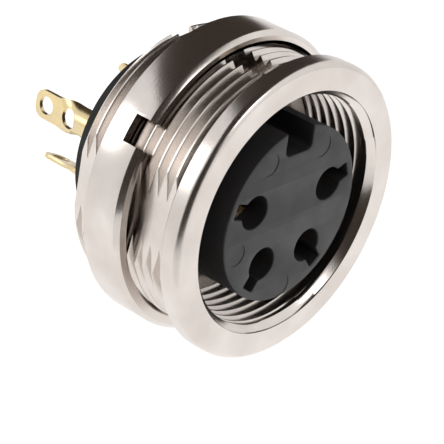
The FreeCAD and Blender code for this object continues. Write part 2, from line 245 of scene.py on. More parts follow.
class InsulatorSizes(bpy.types.PropertyGroup):
    edge_radius: length("Edge Radius", "Rounding of the moulding's edges", 0.1)
    front: length("Front", "Front face of the flange", 6.6)
    flange_back: length("Flange Back", "Rear face of the flange", 7.1)
    flange_radius: length("Flange Radius", "Radius of the flange", 7.27)
    boss_radius: length("Boss Radius", "Radius of the boss", 6.5)
    way_radius: length("Way Radius", "Radius of each tail's way", 1.06)
    way_gap: length("Way Gap", "How far each way reaches inwards of the contact's axis", 0.06)


class FinishColours(bpy.types.PropertyGroup):
    nickel: colour("Nickel", "Plating of the shell and the nut", (0.71, 0.66, 0.62))
    nickel_shade: colour("Nickel Shade", "Darker patches of the plating", (0.62, 0.565, 0.525))
    moulding: colour("Moulding", "Dark grey of the contact insert", (0.011, 0.0105, 0.0115))
    moulding_shade: colour("Moulding Shade", "Flow marks of the insert", (0.008, 0.0075, 0.0085))
    rear_moulding: colour("Rear Moulding", "Black of the rear insulator", (0.012, 0.0115, 0.0115))
    gold: colour("Gold", "Plating of the contacts", (0.78, 0.62, 0.33))
    gold_shade: colour("Gold Shade", "Paler patches of the contacts' plating", (0.71, 0.59, 0.38))
    steel: colour("Steel", "Retaining ring", (0.42, 0.41, 0.39))


class StageSettings(bpy.types.PropertyGroup):
    aim: FloatVectorProperty(name="Aim", description="Point at the middle of the picture",
                             default=(-0.00137, 0.00272, -0.00198), subtype="TRANSLATION", size=3)
    distance: length("Distance", "From the camera to the point that it aims at", 131.15)
    heading: direction("Heading", "Direction of view from above, from +Y towards +X", 49.97)
    elevation: direction("Elevation", "How far the camera looks down", 27.95)
    roll: direction("Roll", "Turn of the camera about its line of sight", 7.23)
    lens: number("Lens", "Focal length in millimetres on a sensor 36 mm wide", 172.5)
    floor_drop: length("Floor Drop", "How far the floor lies below the socket", 18.0)
    floor_size: length("Floor Size", "Width of the floor, and its depth behind the socket", 400.0)
    floor_glow: number("Floor Glow", "Strength of the white that the floor shows", 0.55)
    floor_reach: length("Floor Reach", "How far the floor reaches towards the camera", 34.0)
    screen_distance: length("Screen Distance", "Radius of the dome of dark screens", 1000.0)
    screen_reach: direction("Screen Reach", "How far the dome reaches down from its top", 110.0)
    screen_shade: colour("Screen Shade", "Colour of the dark screens", (0.05, 0.039, 0.032))
    ceiling_rise: number("Ceiling Rise", "How much the ceiling's edge rises towards each side", 1.7)
    ceiling_fade: number("Ceiling Fade", "How far the ceiling's edge fades out", 0.16)
    room_start: number("Room Start", "Share towards the camera where the dark room begins", 0.62)
    room_full: number("Room Full", "Share towards the camera where the dark room is full", 0.80)


class SocketLooks(bpy.types.PropertyGroup):
    thread: part(ThreadSizes, "Thread", "Sizes of the threads")
    shell: part(ShellSizes, "Shell", "Sizes of the shell")
    nut: part(NutSizes, "Nut", "Sizes of the ring nut")
    insert: part(InsertSizes, "Insert", "Sizes of the contact insert")
    insulator: part(InsulatorSizes, "Insulator", "Sizes of the rear insulator")
    contact: part(ContactSizes, "Contact", "Sizes of each contact")
    finish: part(FinishColours, "Finish", "Colours of the finishes")
    stage: part(StageSettings, "Stage", "Camera, floor and screens")


# Turned meshes

class Slot:
    """A straight-sided groove along the axis, with its direction, width and least radius."""

    clearance = math.radians(0.4)

    def __init__(self, angle, width, least_radius):
        self.angle = (angle - SEAM) % FULL_TURN + SEAM
        self.half = width / 2.0
        self.reach = math.asin(self.half / least_radius) + self.clearance


class Flats:
    """Two flats across the barrel. Mesh lines bend so that one runs along each flat's edges.

    Edge is how far from a flat's middle the line that follows its edge starts out, reach how far
    from it lines bend at all, and tries how often a line's place is worked out anew.
    """

    edge = math.radians(16.0)
    reach = math.radians(34.0)
    tries = 8

    def __init__(self, angle, distance):
        self.angles = (angle, angle + math.pi)
        self.distance = distance

    def edge_lines(self):
        """Angles of the mesh lines that follow the edges."""
        return [(angle + side * self.edge - SEAM) % FULL_TURN + SEAM
                for angle in self.angles for side in (-1.0, 1.0)]

    def follow(self, angle, radius_at):
        """Where a mesh line lies on the piece, whose radius before the cut is given."""
        for facing in self.angles:
            away = (angle - facing + math.pi) % FULL_TURN - math.pi
            if abs(away) >= self.reach:
                continue
            turned = angle
            for _ in range(self.tries):
                edge = math.acos(min(self.distance / radius_at(turned), 1.0))
                if abs(away) <= self.edge:
                    bent = edge * abs(away) / self.edge
                else:
                    past = (abs(away) - self.edge) / (self.reach - self.edge)
                    bent = edge + (self.reach - edge) * past
                turned = angle + math.copysign(bent, away) - away
            return turned
        return angle

    def cut(self, angle, radius):
        """The radius once the flats are cut."""
        for facing in self.angles:
            along = math.cos(angle - facing)
            if along > 0.5:
                radius = min(radius, self.distance / along)
        return radius


def lines_around(steps, radius, slots, marks=()):
    """Lines along a turned piece as (angle, sideways offset, slot), with two at each slot wall."""
    lines = []
    for step in range(steps + 1):
        angle = SEAM + FULL_TURN * step / steps
        near_mark = any(abs(angle - mark) < FULL_TURN / steps / 2.0 for mark in marks)
        if not near_mark and all(abs(angle - slot.angle) > slot.reach for slot in slots):
            lines.append((angle, 0.0, None))
    lines += [(mark, 0.0, None) for mark in marks]
    for slot in slots:
        lines.append((slot.angle, -slot.half, None))
        for share in (-1.0, -0.5, 0.0, 0.5, 1.0):
            lines.append((slot.angle, share * slot.half, slot))
        lines.append((slot.angle, slot.half, None))
    return sorted(lines, key=lambda line: line[0] + line[1] / radius)


def turned_mesh(name, lines, rows, radius):
    """Mesh of closed rows about the axis. A row gives radius, y and angle at an angle and slot."""
    shape = bmesh.new()
    grid = []
    for angle, offset, slot in lines:
        nominal = angle + offset / radius
        column = []
        for row in rows:
            reach, y, turn = row(nominal, slot)
            if offset:
                turn = angle + math.asin(offset / reach)
            column.append(shape.verts.new((reach * math.sin(turn), y, reach * math.cos(turn))))
        grid.append(column)
    for left, right in zip(grid, grid[1:]):
        for index in range(len(rows)):
            after = (index + 1) % len(rows)
            shape.faces.new((left[index], left[after], right[after], right[index]))
    return finished_mesh(name, shape)


def placed(name, data):
    """A new object of the scene."""
    made = bpy.data.objects.new(name, data)
    bpy.context.scene.collection.objects.link(made)
    return made


def finished_mesh(name, shape, sharp=TURNED_SHARP):
    """Weld the shape, face it outwards, shade it smooth up to an angle and make its object."""
    bmesh.ops.remove_doubles(shape, verts=shape.verts, dist=WELD)
    bmesh.ops.dissolve_degenerate(shape, edges=shape.edges, dist=NOTHING)
    bmesh.ops.recalc_face_normals(shape, faces=shape.faces)
    mesh = bpy.data.meshes.new(name)
    shape.to_mesh(mesh)
    shape.free()
    mesh.shade_smooth()
    mesh.set_sharp_from_angle(angle=sharp)
    return placed(name, mesh)


def plain(radius, y):
    """A row that is a plain circle."""
    return lambda angle, slot: (radius, y, angle)


def round_rows(centre_radius, centre_y, radius, steps):
    """Rows of a quarter round from the front face to the side."""
    rows = []
    for step in range(steps + 1):
        turn = math.radians(90.0 * step / steps)
        rows.append(plain(centre_radius + radius * math.sin(turn),
                          centre_y - radius * math.cos(turn)))
    return rows


class Thread:
    """A right-hand V thread with flat crests. Its depth is negative inside a bore."""

    def __init__(self, pitch, crest_radius, depth, crest_width, start):
        self.pitch = pitch
        self.crest_radius = crest_radius
        self.depth = depth
        self.half_crest = crest_width / 2.0
        self.flank = abs(depth) * math.tan(FLANK_ANGLE)
        self.start = start

    def crest_place(self, angle):
        """Where the first crest lies at an angle."""
        return self.start + self.pitch * angle / FULL_TURN

    def radius_at(self, angle, y):
        """Radius of the thread's surface."""
        turns = (y - self.crest_place(angle)) / self.pitch
        away = abs(turns - round(turns)) * self.pitch
        share = min(max((away - self.half_crest) / self.flank, 0.0), 1.0)
        return self.crest_radius - self.depth * share

    def rows(self, low, high, radius_at, flats=None):
        """Rows along the helix from low to high, eight to a pitch, held at both ends."""
        offsets = [-self.half_crest - share * self.flank for share in FLANK_SHARES]
        offsets += [-offset for offset in reversed(offsets)]
        first = math.floor((low - self.crest_place(SEAM + FULL_TURN)) / self.pitch) - 1
        last = math.ceil((high - self.crest_place(SEAM)) / self.pitch) + 1
        return [self.row(turn * self.pitch + offset, low, high, radius_at, flats)
                for turn in range(first, last + 1) for offset in offsets]

    def row(self, shift, low, high, radius_at, flats):
        """One row at a fixed shift from the helix of the first crest."""
        def held(angle):
            return min(max(self.crest_place(angle) + shift, low), high)

        def place(angle, slot):
            if flats:
                angle = flats.follow(angle, lambda turned: radius_at(turned, slot, held(turned)))
            y = held(angle)
            radius = radius_at(angle, slot, y)
            return (flats.cut(angle, radius) if flats else radius), y, angle
        return place


# The shell

def shell_piece(thread, sizes):
    """Flanged barrel with both threads, two flats, a keyway and the tab's slot."""
    face = SHELL_LOW.y
    end = SHELL_HIGH.y
    flange = SHELL_HIGH.x
    floor = face + sizes.cavity_depth
    keyway = Slot(sizes.keyway_angle, sizes.keyway_width, sizes.shoulder_radius)
    tab = Slot(math.pi, sizes.tab_slot_width, sizes.shoulder_radius)
    outside = Thread(thread.pitch, sizes.barrel_radius, thread.outside_depth,
                     thread.outside_crest, thread.outside_start)
    coupling_crest = sizes.coupling_radius - thread.inside_depth
    inside = Thread(thread.pitch, coupling_crest, -thread.inside_depth,
                    thread.inside_crest, thread.inside_start)
    flats = Flats(sizes.flats_angle, sizes.flats_distance)

    def barrel(angle, slot, y):
        """The mounting thread between its collar and its end chamfer, with the keyway cut."""
        runout = sizes.barrel_radius - (y - sizes.collar)
        radius = min(max(outside.radius_at(angle, y), runout), sizes.barrel_radius)
        radius = min(radius, sizes.barrel_radius - sizes.end_chamfer + end - y)
        if slot is keyway:
            radius = min(radius, sizes.keyway_floor / math.cos(angle - keyway.angle))
        return radius

    def collar(angle, slot):
        """Where the collar meets the flange, with the flats and the keyway cut."""
        angle = flats.follow(angle, lambda turned: sizes.barrel_radius)
        return flats.cut(angle, barrel(angle, slot, sizes.collar)), 0.0, angle

    def cavity(angle, slot, y):
        """The coupling thread with its mouth and its run-out."""
        lip = sizes.coupling_radius - (y - face - sizes.lip_depth)
        runout = sizes.coupling_radius - (floor - sizes.cavity_runout - y)
        start = coupling_crest + max(y - face - sizes.thread_start, 0.0)
        groove = min(inside.radius_at(angle, y), start)
        return min(max(groove, lip, runout), sizes.coupling_radius)

    def rear_bore(radius, y):
        """A row of the rear bore, with the tab's slot cut."""
        def place(angle, slot):
            reach = radius
            if slot is tab:
                reach = max(radius, sizes.tab_slot_floor / math.cos(angle - tab.angle))
            return reach, y, angle
        return place

    bore = sizes.rear_bore_radius
    groove_end = sizes.groove_start + sizes.groove_width
    shoulder = floor + sizes.shoulder_depth
    rows = [plain(sizes.coupling_radius + APART, face)]
    edge = sizes.edge_radius
    rows += round_rows(flange - edge, face + edge, edge, 8)
    rows += [plain(flange, -sizes.rear_break), plain(flange - sizes.rear_break, 0.0), collar]
    rows += outside.rows(sizes.collar, end, barrel, flats)
    rear = ((bore + sizes.bore_break, end), (bore, end - sizes.bore_break), (bore, groove_end),
            (sizes.groove_radius, groove_end), (sizes.groove_radius, sizes.groove_start),
            (bore, sizes.groove_start), (bore, shoulder))
    rows += [rear_bore(radius, y) for radius, y in rear]
    rows += [plain(sizes.shoulder_radius, shoulder), plain(sizes.shoulder_radius, floor)]
    rows += [plain(sizes.coupling_radius, floor)]
    rows += reversed(inside.rows(face, floor - sizes.cavity_runout, cavity))
    lines = lines_around(sizes.steps, sizes.barrel_radius, [keyway, tab], flats.edge_lines())
    return turned_mesh("threaded_shell", lines, rows, sizes.barrel_radius)


# The ring nut

def nut_piece(thread, sizes, steps):
    """Round nut with a threaded bore, chamfers and two slots across its front."""
    front = NUT_LOW.y
    back = NUT_HIGH.y
    outer = NUT_HIGH.x
    slots = [Slot(sizes.slot_angle + turn, sizes.slot_width, sizes.bore_radius)
             for turn in (0.0, math.pi)]
    bore = Thread(thread.pitch, sizes.bore_radius, -sizes.thread_depth,
                  thread.inside_crest, thread.inside_start)
    mouth = sizes.bore_radius + sizes.bore_chamfer

    def cut_back(slot, y):
        """The place along the axis, behind the front where a slot is."""
        return y if slot is None else max(y, front + sizes.slot_depth)

    def notched(row):
        """The row with its front cut back inside a slot."""
        def place(angle, slot):
            radius, y, turn = row(angle, slot)
            return radius, cut_back(slot, y), turn
        return place

    def bore_radius(angle, slot, y):
        """The nut's thread with a countersink at each end."""
        y = cut_back(slot, y)
        countersink = max(mouth - (y - front), mouth - (back - y))
        return max(bore.radius_at(angle, y), countersink)

    profile = [
        (mouth + APART, front),
        (outer - sizes.front_chamfer, front),
        (outer - sizes.edge_break, front + sizes.front_chamfer - sizes.edge_break),
        (outer, front + sizes.front_chamfer + sizes.edge_break),
        (outer, back - sizes.rear_chamfer),
        (outer - sizes.rear_chamfer, back),
        (mouth + APART, back),
    ]
    rows = [plain(radius, y) for radius, y in profile]
    rows += reversed(bore.rows(front, back, bore_radius))
    lines = lines_around(steps, outer, slots)
    return turned_mesh("slotted_ring_nut", lines, [notched(row) for row in rows], outer)


# Mouldings

# Start and end of each rounded corner of an outline
LEFT_TO_DOWN = (math.radians(270.0), math.radians(180.0))
DOWN_TO_RIGHT = (math.radians(180.0), math.radians(90.0))
LEFT_TO_UP = (math.radians(-90.0), 0.0)
UP_TO_RIGHT = (0.0, math.radians(90.0))


def arc_points(centre, radius, start, end, steps):
    """Points of an arc in the plane of the mating face, from one direction to another."""
    turns = [start + (end - start) * step / steps for step in range(steps + 1)]
    return [centre + radius * Vector((math.sin(turn), math.cos(turn))) for turn in turns]


def open_circle(radius, start, end, steps=ROUND_STEPS):
    """Points of an arc about the axis."""
    return arc_points(Vector((0.0, 0.0)), radius, start, end, steps)


def circle_outline(radius):
    """A full circle about the axis."""
    return open_circle(radius, 0.0, FULL_TURN)[:-1]


def turned_points(points, angle):
    """Points turned about the axis."""
    cosine = math.cos(angle)
    sine = math.sin(angle)
    return [Vector((p.x * cosine + p.y * sine, p.y * cosine - p.x * sine)) for p in points]


def column_outline(sizes):
    """The insert's round outline with the coding notch at the top."""
    half = sizes.notch_width / 2.0
    opening = math.asin(half / sizes.column_radius)
    corner = sizes.notch_corner
    floor = sizes.notch_floor + corner
    points = open_circle(sizes.column_radius, opening, FULL_TURN - opening)
    points += arc_points(Vector((corner - half, floor)), corner, *LEFT_TO_DOWN, 6)
    points += arc_points(Vector((half - corner, floor)), corner, *DOWN_TO_RIGHT, 6)
    return points


def cavity_outline(sizes, angle):
    """One contact's hole with its slot outwards, turned to its direction."""
    half = sizes.slot_width / 2.0
    opening = math.asin(half / sizes.cavity_radius)
    centre = Vector((0.0, sizes.contact_circle))
    corner = sizes.slot_corner
    top = sizes.slot_reach - corner
    points = arc_points(centre, sizes.cavity_radius, opening, FULL_TURN - opening, 40)
    points += arc_points(Vector((corner - half, top)), corner, *LEFT_TO_UP, 4)
    points += arc_points(Vector((half - corner, top)), corner, *UP_TO_RIGHT, 4)
    return turned_points(points, angle)


def moulded_prism(name, outlines, front, back, edge_radius):
    """A prism along the axis from closed outlines, inner ones as holes, with rounded edges."""
    curve = bpy.data.curves.new(name, "CURVE")
    curve.dimensions = "2D"
    curve.fill_mode = "BOTH"
    for outline in outlines:
        spline = curve.splines.new("POLY")
        spline.points.add(len(outline) - 1)
        for point, place in zip(spline.points, outline):
            point.co = (place.x, place.y, 0.0, 1.0)
        spline.use_cyclic_u = True
    curve.bevel_depth = edge_radius
    curve.bevel_resolution = 2
    curve.offset = -edge_radius
    curve.extrude = (back - front) / 2.0 - edge_radius
    drawn = placed(name, curve)
    bpy.context.view_layer.update()
    evaluated = drawn.evaluated_get(bpy.context.evaluated_depsgraph_get())
    mesh = bpy.data.meshes.new_from_object(evaluated)
    bpy.data.objects.remove(drawn)
    upright = Matrix(((1, 0, 0, 0), (0, 0, -1, (front + back) / 2.0), (0, 1, 0, 0), (0, 0, 0, 1)))
    mesh.transform(upright)
    shape = bmesh.new()
    shape.from_mesh(mesh)
    bpy.data.meshes.remove(mesh)
    return finished_mesh(name, shape, MOULDED_SHARP)


def round_cutter(radius, height, matrix, segments=40):
    """A closed cylinder along its own Z axis, placed by a matrix, to cut with."""
    shape = bmesh.new()
    bmesh.ops.create_cone(shape, cap_ends=True, segments=segments, radius1=radius, radius2=radius,
                          depth=height, matrix=matrix)
    return finished_mesh("cutter", shape)


def apply_modifier(piece, modifier):
    """Make a modifier's result part of the mesh."""
    with bpy.context.temp_override(object=piece, active_object=piece):
        bpy.ops.object.modifier_apply(modifier=modifier.name)


def combine(piece, other, operation):
    """Join another mesh to the piece or cut it away, and remove it."""
    modifier = piece.modifiers.new(operation.lower(), "BOOLEAN")
    modifier.operation = operation
    modifier.solver = "EXACT"
    modifier.object = other
    apply_modifier(piece, modifier)
    bpy.data.objects.remove(other)


def cut_away(piece, cutter):
    """Cut one mesh out of another."""
    combine(piece, cutter, "DIFFERENCE")


def joined(pieces):
    """One closed piece of several that are made in one."""
    for other in pieces[1:]:
        combine(pieces[0], other, "UNION")
    return pieces[0]


def layered_moulding(name, layers, holes, edge_radius):
    """One closed moulding of layers as (outline, front, back), with the same holes through all."""
    return joined([moulded_prism(name, [outline] + holes, front, back, edge_radius)
                   for outline, front, back in layers])


def press_marks(piece, places, radius, depth, front):
    """Shallow round marks that the ejector pins leave on the front face."""
    for x, z in places:
        spot = Matrix.Translation((x, front, z)) @ Matrix.Rotation(math.radians(90.0), 4, "X")
        cut_away(piece, round_cutter(radius, 2.0 * depth, spot))
    piece.data.set_sharp_from_angle(angle=MOULDED_SHARP)


def flange_outline(sizes):
    """The round flange behind the column, with the tab opposite the notch."""
    half = sizes.tab_width / 2.0
    opening = math.asin(half / sizes.flange_radius)
    points = open_circle(sizes.flange_radius, math.pi + opening, 3.0 * math.pi - opening)
    end = -math.sqrt(sizes.tab_radius ** 2 - half ** 2)
    return points + [Vector((half, end)), Vector((-half, end))]


def insert_piece(sizes):
    """Column with the coding notch, four keyhole cavities and the ejector marks, on a flange."""
    edge = sizes.edge_radius
    front = INSERT_LOW.y
    flange = INSERT_HIGH.y - sizes.flange_thickness
    layers = (
        (column_outline(sizes), front, flange - edge),
        (circle_outline(sizes.column_radius - APART), front + sizes.notch_length, flange + edge),
        (flange_outline(sizes), flange, INSERT_HIGH.y),
    )
    cavities = [cavity_outline(sizes, angle) for angle in CONTACT_DIRECTIONS]
    column = layered_moulding("insert_column", layers, cavities, edge)
    press_marks(column, MARK_PLACES, sizes.mark_radius, sizes.mark_depth, front)
    return column


def way_outline(sizes, circle, turn, angle):
    """The half-round way of one tail, turned with its tail and to its direction."""
    dip = math.asin(sizes.way_gap / sizes.way_radius)
    points = open_circle(sizes.way_radius, -math.pi / 2.0 - dip, math.pi / 2.0 + dip, 24)
    lifted = [point + Vector((0.0, circle)) for point in turned_points(points, turn)]
    return turned_points(lifted, angle)


def insulator_piece(sizes, circle, turn):
    """Black rear moulding: a flange against the insert and a boss with four ways for the tails."""
    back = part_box("rear_insulator")[1].y
    layers = (
        (circle_outline(sizes.flange_radius), sizes.front, sizes.flange_back),
        (circle_outline(sizes.boss_radius), sizes.flange_back - sizes.edge_radius, back),
    )
    ways = [way_outline(sizes, circle, turn, angle) for angle in CONTACT_DIRECTIONS]
    return layered_moulding("rear_moulding", layers, ways, sizes.edge_radius)


# Contacts

def blend(start, end, share):
    """A smooth step from start to end."""
    share = min(max(share, 0.0), 1.0)
    share = share * share * (3.0 - 2.0 * share)
    return start + (end - start) * share


def spaced(start, end, count):
    """Evenly spaced values from start to end."""
    return [start + (end - start) * step / count for step in range(count + 1)]


def add_strip(shape, stations, half_width, place, thickness, columns):
    """Closed strip: place gives a middle point and a normal for a station and an offset across."""
    rings = []
    for y in stations:
        half = half_width(y)
        middle = [place(y, offset) for offset in spaced(-half, half, columns)]
        points = [point + normal * thickness / 2.0 for point, normal in middle]
        points += [point - normal * thickness / 2.0 for point, normal in reversed(middle)]
        rings.append([shape.verts.new(point) for point in points])
    for ring, following in zip(rings, rings[1:]):
        for index in range(len(ring)):
            after = (index + 1) % len(ring)
            shape.faces.new((ring[index], ring[after], following[after], following[index]))
    for ring in (rings[0], rings[-1]):
        for index in range(columns):
            back = len(ring) - 1 - index
            shape.faces.new((ring[index], ring[index + 1], ring[back - 1], ring[back]))


def strip_changes(sizes, y):
    """How far the strip has narrowed behind the socket, and how far it has opened at the bend."""
    return ((y - sizes.socket_end) / (sizes.tail_start - sizes.socket_end),
            (y - sizes.bend_start) / (sizes.lug_start - sizes.bend_start))


def rolled_place(sizes, turn):
    """Where the strip lies: rolled up at the socket, half round along the tail, flat at the lug."""
    def place(y, offset):
        narrowing, opening = strip_changes(sizes, y)
        radius = blend(sizes.socket_radius, sizes.tail_radius, narrowing)
        curvature = blend(1.0 / radius, 1.0 / sizes.lug_curve, opening)
        height = blend(radius, sizes.lug_height, opening)
        angle = offset * curvature
        lean = blend(0.0, turn, narrowing)
        across = math.sin(angle) / curvature
        up = height - (1.0 - math.cos(angle)) / curvature
        turned = Matrix.Rotation(lean, 3, "Y")
        outwards = Vector((math.sin(angle), 0.0, math.cos(angle)))
        return turned @ Vector((across, y, up)), turned @ outwards
    return place


def contact_mesh(sizes):
    """One contact around the Y axis with its outer side up: socket, tongue, ears and tail."""
    shape = bmesh.new()
    corner = sizes.lug_corner

    def half_width(y):
        """Half of the strip's width, with the lug's rounded corners."""
        narrowing, opening = strip_changes(sizes, y)
        width = blend(sizes.socket_width, sizes.tail_width, narrowing)
        half = blend(width, sizes.lug_width, opening) / 2.0
        past = y - (sizes.tip - corner)
        if past > 0.0:
            half -= corner - math.sqrt(max(corner * corner - past * past, 0.0))
        return half

    stations = spaced(sizes.start, sizes.socket_end, 4)
    stations += spaced(sizes.socket_end, sizes.tail_start, 8)[1:]
    stations += spaced(sizes.tail_start, sizes.bend_start, 3)[1:]
    stations += spaced(sizes.bend_start, sizes.lug_start, 18)[1:]
    stations += [sizes.tip - corner + corner * math.sin(math.radians(10.0 * step))
                 for step in range(10)]
    add_strip(shape, stations, half_width, rolled_place(sizes, sizes.tail_turn), sizes.thickness,
              STRIP_COLUMNS)
    contact = finished_mesh("contact", shape, MOULDED_SHARP)
    turn = Matrix.Rotation(sizes.tail_turn, 4, "Y")
    through = 4.0 * MM
    for radius, y in ((sizes.solder_hole, sizes.solder_hole_place),
                      (sizes.window, sizes.window_place)):
        middle = turn @ Matrix.Translation((0.0, y, 0.0))
        cut_away(contact, round_cutter(radius, through, middle, 36))
    tongue = bmesh.new()
    add_tongue(tongue, sizes)
    ears = bmesh.new()
    add_ears(ears, sizes, turn.to_3x3())
    contact = joined([contact, finished_mesh("tongue", tongue), finished_mesh("ears", ears)])
    round_edges(contact, sizes.edge_radius)
    return contact


def add_tongue(shape, sizes):
    """The spring tongue that rises from the socket's outer side into the cavity's slot."""
    half = sizes.tongue_width / 2.0

    def place(y, offset):
        share = (y - sizes.tongue_start) / (sizes.tongue_end - sizes.tongue_start)
        up = sizes.socket_radius + sizes.tongue_rise * math.sin(share * math.radians(100.0))
        return Vector((offset, y, up)), Vector((0.0, -0.2 * (1.0 - share), 1.0)).normalized()

    stations = spaced(sizes.tongue_start, sizes.tongue_end, 10)
    add_strip(shape, stations, lambda y: half, place, sizes.thickness, 4)


def add_ears(shape, sizes, turn):
    """Two flat ears at the tail's edges, which hold the contact in the rear insulator."""
    stations = (sizes.ear_start, sizes.ear_end)
    half = (sizes.ear_reach - sizes.tail_radius) / 2.0
    outwards = turn @ Vector((0.0, 0.0, 1.0))
    for side in (-1.0, 1.0):
        middle = side * (sizes.tail_radius + sizes.ear_reach) / 2.0

        def place(y, offset):
            return turn @ Vector((middle + offset, y, sizes.thickness / 2.0)), outwards

        add_strip(shape, stations, lambda y: half, place, sizes.thickness, 2)


def round_edges(piece, radius):
    """Round the piece's sharp edges slightly."""
    modifier = piece.modifiers.new("edges", "BEVEL")
    modifier.width = radius
    modifier.segments = 2
    modifier.limit_method = "ANGLE"
    modifier.angle_limit = STAMPED_SHARP
    apply_modifier(piece, modifier)
    piece.data.shade_smooth()
    piece.data.set_sharp_from_angle(angle=STAMPED_SHARP)


# Shader nodes and groups

def add_node(tree, kind, inputs, **settings):
    """A node with its settings. Each input is a socket to link from, or a plain value."""
    node = tree.nodes.new(kind)
    for name, value in settings.items():
        setattr(node, name, value)
    for key, value in inputs.items():
        if isinstance(value, bpy.types.NodeSocket):
            tree.links.new(value, node.inputs[key])
        else:
            node.inputs[key].default_value = value
    return node


def result(tree, kind, inputs, output=0, **settings):
    """One output of a new node."""
    return add_node(tree, kind, inputs, **settings).outputs[output]


def maths(tree, operation, *inputs):
    """Result of a Math node for sockets or numbers."""
    return result(tree, "ShaderNodeMath", dict(enumerate(inputs)), operation=operation)


def map_range(tree, inputs, **settings):
    """Result of a Map Range node."""
    return result(tree, "ShaderNodeMapRange", inputs, "Result", **settings)


def share_along(tree, direct, fixed):
    """How far a direction points along a fixed one."""
    return result(tree, "ShaderNodeVectorMath", {0: direct, 1: fixed}, "Value",
                  operation="DOT_PRODUCT")


def object_place(tree):
    """The shaded point in the piece's own space."""
    return tree.nodes.new("ShaderNodeTexCoord").outputs["Object"]


def noise(tree, place, scale, detail):
    """Noise at a place."""
    inputs = {"Vector": place, "Scale": scale, "Detail": detail}
    return result(tree, "ShaderNodeTexNoise", inputs, "Fac")


def new_group(name, inputs, outputs):
    """An empty shader group, and its input and output nodes. Inputs give their defaults."""
    group = bpy.data.node_groups.new(name, "ShaderNodeTree")
    for label, default in inputs.items():
        kind = "NodeSocketFloat" if isinstance(default, float) else "NodeSocketColor"
        socket = group.interface.new_socket(name=label, in_out="INPUT", socket_type=kind)
        socket.default_value = default
    for label, kind in outputs.items():
        group.interface.new_socket(name=label, in_out="OUTPUT", socket_type=kind)
    given = group.nodes.new("NodeGroupInput").outputs
    return group, given, group.nodes.new("NodeGroupOutput").inputs


def give_normal(group, given, made, height):
    """Give out the normal that a height bumps, by the group's own strength and depth."""
    bumped = result(group, "ShaderNodeBump", {
        "Height": height, "Strength": given["Strength"], "Distance": given["Depth"]})
    group.links.new(bumped, made["Normal"])


def make_cloudy_group():
    """Soft patches between two colours, and a value that follows them."""
    group, given, made = new_group("cloudy_tint", {
        "Scale": 400.0, "Main": (0.8, 0.8, 0.8, 1.0), "Shade": (0.6, 0.6, 0.6, 1.0),
        "Low": 0.2, "High": 0.3,
    }, {"Color": "NodeSocketColor", "Value": "NodeSocketFloat"})
    cloud = noise(group, object_place(group), given["Scale"], 4.0)
    patches = map_range(group, {"Value": cloud, "From Min": 0.35, "From Max": 0.65})
    tint = result(group, "ShaderNodeMix", {
        "Factor": patches, MIX_FIRST: given["Main"], MIX_SECOND: given["Shade"],
    }, MIX_COLOUR, data_type="RGBA")
    value = map_range(group, {"Value": patches, "To Min": given["Low"], "To Max": given["High"]})
    group.links.new(tint, made["Color"])
    group.links.new(value, made["Value"])


def make_grain_group():
    """Fine even grain as a bumped normal."""
    group, given, made = new_group("fine_grain", {
        "Scale": 6000.0, "Strength": 0.1, "Depth": 0.01 * MM,
    }, {"Normal": "NodeSocketVector"})
    give_normal(group, given, made, noise(group, object_place(group), given["Scale"], 3.0))


def make_turning_group():
    """Rings that a lathe tool leaves around the Y axis, under a fine grain, as a bumped normal."""
    group, given, made = new_group("turning_rings", {
        "Rings": 9000.0, "Grain": 9000.0, "Grain Share": 1.0, "Strength": 0.1, "Depth": 0.01 * MM,
    }, {"Normal": "NodeSocketVector"})
    place = object_place(group)
    parts = add_node(group, "ShaderNodeSeparateXYZ", {"Vector": place}).outputs
    across = result(group, "ShaderNodeCombineXYZ", {"X": parts["X"], "Y": parts["Z"]})
    radius = result(group, "ShaderNodeVectorMath", {0: across}, "Value", operation="LENGTH")
    ring_place = result(group, "ShaderNodeCombineXYZ", {"X": radius, "Y": parts["Y"]})
    rings = noise(group, ring_place, given["Rings"], 2.0)
    grain = noise(group, place, given["Grain"], 3.0)
    relief = maths(group, "MULTIPLY_ADD", grain, given["Grain Share"], rings)
    give_normal(group, given, made, relief)


GROUP_MAKERS = {
    "cloudy_tint": make_cloudy_group,
    "fine_grain": make_grain_group,
    "turning_rings": make_turning_group,
}


def place_group(tree, name, values):
    """A group's node with its own input values. The group is made on first use."""
    if name not in bpy.data.node_groups:
        GROUP_MAKERS[name]()
    node = tree.nodes.new("ShaderNodeGroup")
    node.node_tree = bpy.data.node_groups[name]
    for label, value in values.items():
        node.inputs[label].default_value = value
    return node.outputs


# Materials

def tinted_material(name, main, shade, patches, roughness, relief, metallic=0.0, specular=0.5):
    """A material with cloudy colour and roughness, and one relief group with its values."""
    if name in bpy.data.materials:
        return bpy.data.materials[name]
    material = bpy.data.materials.new(name)
    material.use_nodes = True
    tree = material.node_tree
    shader = tree.nodes["Principled BSDF"].inputs
    low, high = roughness
    cloud = place_group(tree, "cloudy_tint", {
        "Scale": patches, "Main": (*main, 1.0), "Shade": (*shade, 1.0), "Low": low, "High": high})
    tree.links.new(cloud["Color"], shader["Base Color"])
    tree.links.new(cloud["Value"], shader["Roughness"])
    tree.links.new(place_group(tree, *relief)["Normal"], shader["Normal"])
    shader["Metallic"].default_value = metallic
    shader["Specular IOR Level"].default_value = specular
    return material


def darker(tint, share):
    """A share of a colour."""
    return [part * share for part in tint]


def nickel_material(finish):
    """Satin nickel plate over turned metal, for the shell and the nut."""
    relief = {"Rings": 6000.0, "Grain": 7000.0, "Grain Share": 1.2, "Strength": 0.16}
    return tinted_material("satin_nickel", finish.nickel, finish.nickel_shade, patches=260.0,
                           roughness=(0.17, 0.25), relief=("turning_rings", relief), metallic=1.0)


